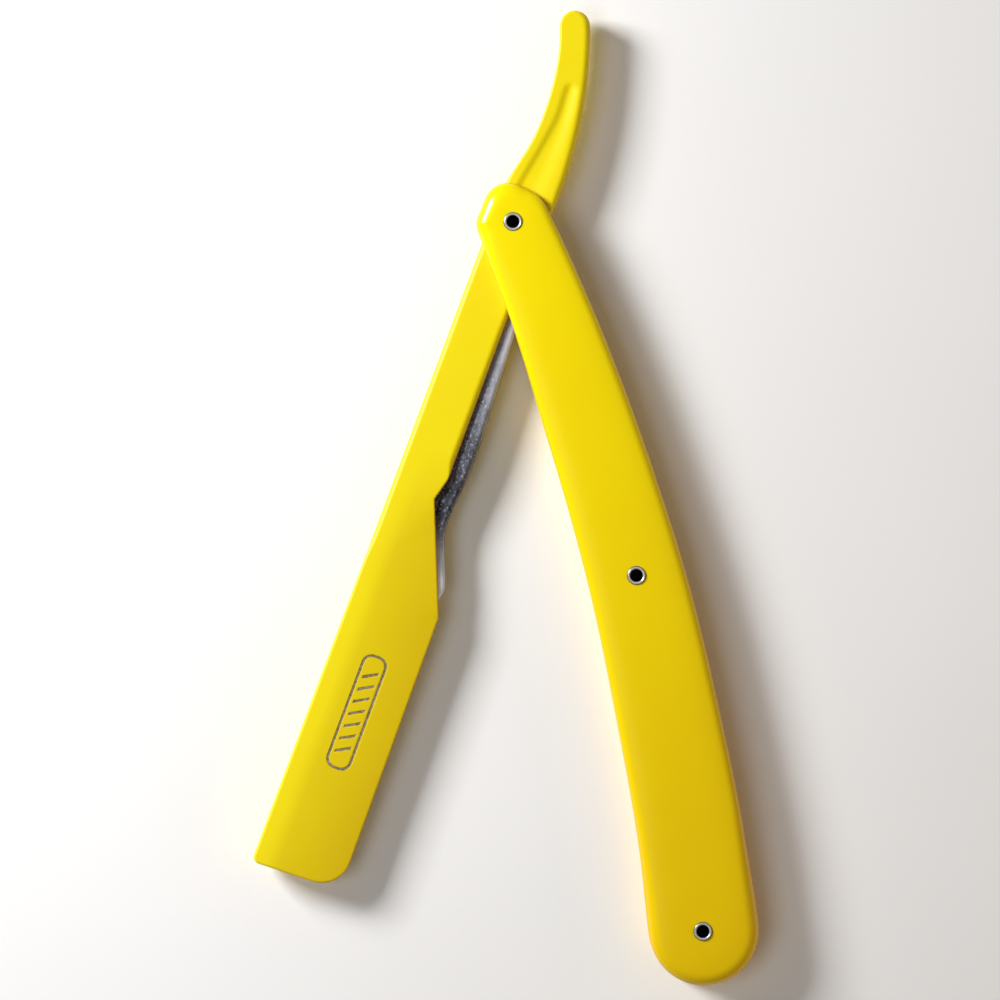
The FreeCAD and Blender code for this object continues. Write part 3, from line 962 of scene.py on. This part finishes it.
def rolled_rivet(name, place, rim, mat):
    """Hollow rivet: rolled lip on the front, spread end over its washer at the rear."""
    low = node_span(name)[0][2]
    base = rim - LIP_SUNK
    lip_middle = (RIVET_BORE + LIP_RADIUS) / 2
    lip_half = (LIP_RADIUS - RIVET_BORE) / 2
    profile = arc((lip_middle, base), (lip_half, LIP_RISE), 180, 0, 12)
    profile += [(HOLE_RADIUS, base), (HOLE_RADIUS, low + SPREAD_THICKNESS)]
    profile += [(SPREAD_RADIUS - SPREAD_CHAMFER, low + 0.30), (SPREAD_RADIUS, low + 0.20)]
    profile += arc((SPREAD_RADIUS - SPREAD_ROUND, low + SPREAD_ROUND), (SPREAD_ROUND, SPREAD_ROUND),
                   0, -90, 6)
    profile += [(RIVET_BORE + 0.15, low), (RIVET_BORE + 0.04, low + 0.04), (RIVET_BORE, low + 0.15)]
    obj = lathe(name + "_tube", place, profile[::-1])
    finish_piece(obj, HANDLE, "rivet_nickel", [name], mat)


def flat_ring(node, name, slot, mat, bevel):
    """Washer or collar between a CAD node's faces, with softened corners."""
    low, high = node_span(node)
    bottom, top = low[2], high[2]
    outer = (high - low)[0] / 2
    profile = [(HOLE_RADIUS, bottom + bevel), (HOLE_RADIUS + bevel, bottom),
               (outer - bevel, bottom), (outer, bottom + bevel),
               (outer, top - bevel), (outer - bevel, top),
               (HOLE_RADIUS + bevel, top), (HOLE_RADIUS, top - bevel)]
    obj = lathe(name, node_centre(node)[:2], profile, count=72, smooth_degrees=20.0)
    finish_piece(obj, HANDLE, slot, [node], mat)


def tail_spacer():
    low, high = node_span("tail_spacer")
    loop = smooth_loop(sliced("tail_spacer", 0.3), 0.5)
    skin = Skin(loop, 0.3, [circle(TAIL, HOLE_RADIUS)], 1.6, rings=3)
    obj = plate_mesh("tail_spacer_block", skin, high[2] - skin.drop, skin, low[2] + skin.drop, wall_rows=3)
    finish_piece(obj, HANDLE, "spacer_plastic", ["tail_spacer"], spacer_plastic)


rims = front_scale()
rear_scale()
for name, place, rim in zip(("pivot", "middle", "tail"), RIVET_PLACES, rims):
    rivet_nickel = nickel("rivet_nickel_" + name, place)
    rolled_rivet(name + "_rivet", place, rim, rivet_nickel)
    flat_ring(name + "_rivet_washer", name + "_washer_disc", "rivet_nickel", rivet_nickel, 0.06)
flat_ring("middle_spacer", "middle_spacer_collar", "spacer_plastic", spacer_plastic, 0.15)
for side in ("front", "rear"):
    washer = side + "_pivot_washer"
    flat_ring(washer, washer + "_disc", "washer_nylon", washer_nylon, 0.05)
tail_spacer()

# ---------------------------------------------------------------- arm

CUTTING_EDGE_W = 12.0
CREASE_SPAN = (-1.7, 0.8)
CREASE_SLOPE = 0.042
EDGE_SLOPE = 0.086
FACE_START_S = 40.0
NOTCH = np.array([48.5, 3.9])
FACET_END = np.array([60.0, 0.0])
FACET_SLOPE = 0.085
FACET_BLEND = 0.6

GROOVE_DEPTH = 0.34
GROOVE_START_S = -3.7
GROOVE_END_S = -25.4
GROOVE_WALL = ((-25.4, 0.15), (-24.2, 0.25), (-19.2, 0.55), (-13.5, -0.3), (-5.6, -1.7), (0.0, -2.6))
GROOVE_LIP = ((-25.4, 2.35), (-24.4, 2.45), (-20.2, 3.1), (-14.3, 3.6), (-9.9, 3.75), (-5.6, 3.5), (0.0, 3.0))

MARK_CENTRE = np.array([87.0, 4.2])
MARK_HALF = np.array([10.0, 2.0])
MARK_CORNER = 1.6
MARK_STROKE = 0.24
MARK_DEPTH = 0.09
MARK_WALL = (-0.06, 0.03)
MARK_PITCHES = 9
MARK_BARS_EACH_WAY = 3
MARK_BAR_SLANT = 0.55
MARK_BAR_COSINE = 0.876
MARK_BAR_CLEAR = 0.75
MARK_MARGIN = 0.5

SPINE_ROUND = 0.9
TANG_SPINE_ROUND = 0.35
TANG_BELLY_ROUND = 1.2
SHANK_ROUND = 1.05
HEAD_BELLY_ROUND = 0.24
HEAD_SPINE_ROUND = 0.45
HEAD_END_ROUND = 0.4


def ground_face(plan):
    """Height lost to the blade face, convex towards its edge, and to its lead-in facet."""
    w = plan[:, 1]
    span = CREASE_SPAN[1] - CREASE_SPAN[0]
    crease = np.clip((w - CREASE_SPAN[0]) / span, 0, 1)
    past = np.maximum(w - CREASE_SPAN[1], 0)
    bend = (EDGE_SLOPE - CREASE_SLOPE) / (CUTTING_EDGE_W - CREASE_SPAN[1])
    main = CREASE_SLOPE * (span * crease ** 2 / 2 + past) + bend * past ** 2 / 2
    along = (FACET_END - NOTCH) / np.hypot(*(FACET_END - NOTCH))
    across = np.array([-along[1], along[0]])
    facet = (plan - NOTCH) @ across
    facet = FACET_BLEND * np.log1p(np.exp(np.clip(facet / FACET_BLEND, -30, 30)))
    lesser = np.minimum(main, FACET_SLOPE * facet)
    return np.where(plan[:, 0] > FACE_START_S, lesser, 0)


def eased_line(s, corners, reach=1.6):
    """Value along s through the corners, with the bends rounded off."""
    xs, ys = np.array(corners).T
    total = np.zeros(len(s))
    offsets = np.linspace(-reach, reach, 9)
    for offset in offsets:
        total += np.interp(s + offset, xs, ys)
    return total / len(offsets)


def thumb_groove(plan):
    """Depth of the tang's groove: steep wall on the spine side, long bank on the other."""
    s, w = plan[:, 0], plan[:, 1]
    left = eased_line(s, GROOVE_WALL)
    lip = eased_line(s, GROOVE_LIP)
    wall = step_between(w - left, -0.35, 0.85)
    bank = step_between(lip - w, -0.5, np.maximum(0.6 * (lip - left), 0.9))
    off_middle = np.clip((w - (left + lip) / 2) / (lip - left), -0.6, 0.6)
    end = step_between(s - 1.8 * off_middle ** 2, GROOVE_END_S - 0.5, GROOVE_END_S + 0.8)
    return np.where(s < GROOVE_START_S, GROOVE_DEPTH * wall * bank * end, 0)


def mark_gap(plan):
    """Distance outside the strokes of the ornament: a rounded frame filled with slanted bars."""
    q = np.abs(plan - MARK_CENTRE) - (MARK_HALF - MARK_CORNER)
    box = np.hypot(np.maximum(q[:, 0], 0), np.maximum(q[:, 1], 0)) + np.minimum(q.max(1), 0) - MARK_CORNER
    frame_gap = np.abs(box) - MARK_STROKE
    pitch = 2 * MARK_HALF[0] / MARK_PITCHES
    from_centre = plan - MARK_CENTRE
    slant = (from_centre[:, 0] + MARK_BAR_SLANT * from_centre[:, 1]) / pitch
    bar_gap = np.abs(slant - np.round(slant)) * pitch * MARK_BAR_COSINE - MARK_STROKE
    bar_gap = np.where(np.abs(np.round(slant)) <= MARK_BARS_EACH_WAY, bar_gap, MARK_HALF[0])
    bar_gap = np.maximum(bar_gap, box + MARK_BAR_CLEAR)
    return np.minimum(frame_gap, bar_gap)


def near_mark(plan):
    return (np.abs(plan - MARK_CENTRE) < MARK_HALF + MARK_MARGIN).all(1)


def arm_edge_radius(loop):
    """Rolled edges on the tang, spine and shank; crisp ones around the ground head."""
    s, w = loop[:, 0], loop[:, 1]
    inward = inward_normals(loop)
    radius = np.full(len(loop), SPINE_ROUND)
    radius[(s < -6) & (inward[:, 1] > 0)] = TANG_SPINE_ROUND
    radius[(s < -6) & (inward[:, 1] <= 0)] = TANG_BELLY_ROUND
    radius[(w > 2) & (s > 0) & (s < 42)] = SHANK_ROUND
    radius[(w > 1) & (s > 43)] = HEAD_BELLY_ROUND
    radius[(w < 1) & (s > 60)] = HEAD_SPINE_ROUND
    radius[(s > 112) & (inward[:, 0] < -0.5)] = HEAD_END_ROUND
    return eased_round(radius, 4)


def arm_plan_loop(node, height, spacing):
    """Smooth outline of a CAD node in the arm's own plan."""
    return smooth_loop(turned(sliced(node, height), -ARM_ANGLE), spacing)


def slot_outline(far):
    """Plan of the clamp's slot: round behind the pivot, open along the cutting side and the end."""
    beyond = 20.0
    last = math.pi + math.asin(-SLOT_FLOOR_W / SLOT_END_RADIUS)
    behind = [(SLOT_END_RADIUS * math.cos(a), SLOT_END_RADIUS * math.sin(a))
              for a in np.linspace(math.pi, last, 14)]
    return behind + [(far, SLOT_FLOOR_W), (far, beyond), (-SLOT_END_RADIUS, beyond)]


def cut_and_finish(obj, cutter, body, slot, node):
    """Cut a plate drawn in the arm's plan and put it where it rests."""
    cut(obj, cutter)
    soften(obj)
    to_row_frame(obj)
    finish_piece(obj, body, slot, [node])


def blade_arm():
    loop = arm_plan_loop("blade_arm", SLOT_HALF + 0.15, 0.3)
    radius = arm_edge_radius(loop)
    hole = [circle((0, 0), ARM_BORE)]
    front = Skin(loop, radius, hole, 0.42, near_mark, 0.13)
    rear = Skin(loop, radius, hole, 0.5)
    cutting = MARK_DEPTH * (1 - step_between(mark_gap(front.plan), *MARK_WALL))
    front_z = ARM_HALF - ground_face(front.plan) - thumb_groove(front.plan) - front.drop - cutting
    rear_z = -(ARM_HALF - ground_face(rear.plan) - thumb_groove(rear.plan) - rear.drop)
    obj = plate_mesh("blade_arm_body", front, front_z, rear, rear_z, wall_rows=4)
    middles = np.array([front.plan[list(face)].mean(0) for face in front.faces])
    obj.data.materials.append(arm_coating)
    obj.data.materials.append(etched_mark)
    for i in np.nonzero(mark_gap(middles) < 0.0)[0]:
        obj.data.polygons[int(i)].material_index = 1
    cutter = prism("slot_cutter", slot_outline(loop[:, 0].max() + 5), -SLOT_HALF, SLOT_HALF)
    cut_and_finish(obj, cutter, ARM, "arm_coating", "blade_arm")


blade_arm()

# ---------------------------------------------------------------- clamp

SEAT_FLOOR_Z = 0.45
SEAT_START_S = 68.2
SEAT_BACK_W = 3.2
SEAT_FRONT_W = 16.0
STUD_RADIUS = 0.70
STUD_TOP_Z = 0.95
STUD_DOME = 0.22
STUD_BEVEL = 0.08
STUD_PLACES = ((79.0, 7.0), (101.0, 7.0))
JIMP_SPAN = (26.6, 47.4)
JIMP_PITCH = 1.2
JIMP_BAND = (4.6, 5.6)
JIMP_DEPTH = 0.07
CLAMP_EDGE_ROUND = 0.82
CLAMP_HIDDEN_ROUND = 0.18


def jimp_depth(plan):
    """Fine cross cuts where the clamp leaves the slot."""
    s, w = plan[:, 0], plan[:, 1]
    wave = 0.5 + 0.5 * np.cos((s - JIMP_SPAN[0]) * 2 * math.pi / JIMP_PITCH)
    band = step_between(w, JIMP_BAND[0] - 0.2, JIMP_BAND[0])
    band = band * (1 - step_between(w, JIMP_BAND[1], JIMP_BAND[1] + 0.3))
    run = step_between(s, JIMP_SPAN[0], JIMP_SPAN[0] + 0.6)
    run = run * (1 - step_between(s, JIMP_SPAN[1] - 0.6, JIMP_SPAN[1]))
    return JIMP_DEPTH * band * run * step_between(wave, 0.25, 0.75)


def shows_outside(plan):
    return (plan[:, 1] > 3.6) & (plan[:, 0] > 14) & (plan[:, 0] < 66.5)


def blade_clamp():
    loop = arm_plan_loop("blade_clamp", 0.1, 0.24)
    s, w = loop[:, 0], loop[:, 1]
    shown = (w > 4.5) & (s > 4) & (s < 64.5)
    radius = eased_round(np.where(shown, CLAMP_EDGE_ROUND, CLAMP_HIDDEN_ROUND), 5)
    holes = [circle((0, 0), ARM_BORE)] + [circle(place, STUD_RADIUS, 32) for place in STUD_PLACES]
    skin = Skin(loop, radius, holes, 0.6, shows_outside, 0.20)
    rough = 0.012 * grain(skin.plan, 0.35, 5) + 0.018 * grain(skin.plan, 0.9, 9)
    rough = rough * shows_outside(skin.plan)
    top = CLAMP_HALF - skin.drop - jimp_depth(skin.plan) - np.abs(rough)
    obj = plate_mesh("blade_clamp_plate", skin, top, skin, -top, wall_rows=3)
    obj.data.materials.append(clamp_steel)
    far = loop[:, 0].max() + 3
    seat = [(SEAT_START_S, SEAT_BACK_W), (far, SEAT_BACK_W),
            (far, SEAT_FRONT_W), (SEAT_START_S, SEAT_FRONT_W)]
    cutter = prism("seat_cutter", seat, SEAT_FLOOR_Z, CLAMP_HALF + 1)
    cut_and_finish(obj, cutter, CLAMP, "clamp_steel", "blade_clamp")


def blade_studs():
    """Two domed studs, joined as one piece."""
    low = -CLAMP_HALF
    rings = [(STUD_RADIUS - STUD_BEVEL, low), (STUD_RADIUS, low + STUD_BEVEL)]
    rings += arc((STUD_RADIUS - STUD_DOME, STUD_TOP_Z - STUD_DOME), (STUD_DOME, STUD_DOME), 0, 90, 6)
    verts, faces = [], []
    count = 40
    for centre in turned(STUD_PLACES, ARM_ANGLE):
        first = len(verts)
        verts += [(*centre, low), (*centre, STUD_TOP_Z)]
        for radius, z in rings:
            verts += [(x, y, z) for x, y in circle(centre, radius, count)]
        last = first + 2 + (len(rings) - 1) * count
        for i in range(count):
            j = (i + 1) % count
            faces += [(first, first + 2 + j, first + 2 + i), (first + 1, last + i, last + j)]
            for k in range(len(rings) - 1):
                a, b = first + 2 + k * count, first + 2 + (k + 1) * count
                faces.append((a + i, a + j, b + j, b + i))
    obj = build_mesh("blade_studs_pair", verts, faces)
    finish_piece(obj, CLAMP, "stud_steel", ["blade_studs"], stud_steel)


blade_clamp()
blade_studs()

# ---------------------------------------------------------------- studio

# The picture plane: its centre and width in mm, and its right and up directions in the row frame.
PICTURE_WIDTH = 168.66
PICTURE_CENTRE = np.array([44.81, -14.26])
PICTURE_RIGHT = np.array([0.2585, 0.9660])
PICTURE_UP = np.array([-0.9660, 0.2585])
FLOOR_Z = cad_box[0][2] / MM
FLOOR_HALF = 900.0
FLOOR_STEPS = 24
LENS = 150.0
SENSOR = 36.0
WORLD_STRENGTH = 0.10
WHITE = (1.0, 1.0, 1.0)
WARM = (1.0, 0.62, 0.30)
# Name, place (right, up, height) in mm, size in m, power in W, colour, seen in reflections.
LIGHTS = (
    ("key", (-345, 200, 262), (0.16, 0.16), 2.86, WHITE, True),
    ("overhead", (-230, -120, 640), (0.32, 0.32), 0.9, WHITE, False),
    ("warm_return", (620, -160, 200), (0.5, 0.3), 0.85, WARM, False),
)


def studio_point(right, up, height):
    """Point in metres from distances in the picture plane and a height, all in mm."""
    plan = PICTURE_CENTRE + PICTURE_RIGHT * right + PICTURE_UP * up
    return Vector((plan[0] * MM, plan[1] * MM, height * MM))


def area_light(name, place, size, energy, colour, mirrored):
    """Rectangular lamp aimed at the middle of the picture."""
    data = bpy.data.lights.new(name, "AREA")
    data.shape = "RECTANGLE"
    data.size, data.size_y = size
    data.energy = energy
    data.color = colour
    obj = bpy.data.objects.new(name, data)
    bpy.context.scene.collection.objects.link(obj)
    obj.location = where = studio_point(*place)
    obj.rotation_euler = (studio_point(0, 0, 0) - where).to_track_quat("-Z", "Y").to_euler()
    obj.visible_glossy = mirrored


def floor():
    corner = PICTURE_CENTRE - FLOOR_HALF
    pitch = 2 * FLOOR_HALF / FLOOR_STEPS
    row = FLOOR_STEPS + 1
    verts = [(corner[0] + pitch * i, corner[1] + pitch * j, FLOOR_Z)
             for i in range(row) for j in range(row)]
    faces = []
    for i in range(FLOOR_STEPS):
        for j in range(FLOOR_STEPS):
            a = i * row + j
            faces.append((a, a + row, a + row + 1, a + 1))
    obj = build_mesh("studio_floor", verts, faces)
    obj.data.materials.append(floor_card("floor_card"))


def camera():
    data = bpy.data.cameras.new("photo_camera")
    data.lens = LENS
    data.sensor_width = SENSOR
    data.clip_start = 0.01
    obj = bpy.data.objects.new("photo_camera", data)
    bpy.context.scene.collection.objects.link(obj)
    obj.location = studio_point(0, 0, SCALE_OUTER + PICTURE_WIDTH * LENS / SENSOR)
    obj.rotation_euler = (0, 0, math.atan2(PICTURE_RIGHT[1], PICTURE_RIGHT[0]))
    bpy.context.scene.camera = obj


floor()
camera()
for light in LIGHTS:
    area_light(*light)

world = bpy.data.worlds.new("studio")
bpy.context.scene.world = world
world.use_nodes = True
background = world.node_tree.nodes["Background"]
background.inputs["Color"].default_value = (*WHITE, 1)
background.inputs["Strength"].default_value = WORLD_STRENGTH
bpy.context.scene.view_settings.view_transform = "Standard"
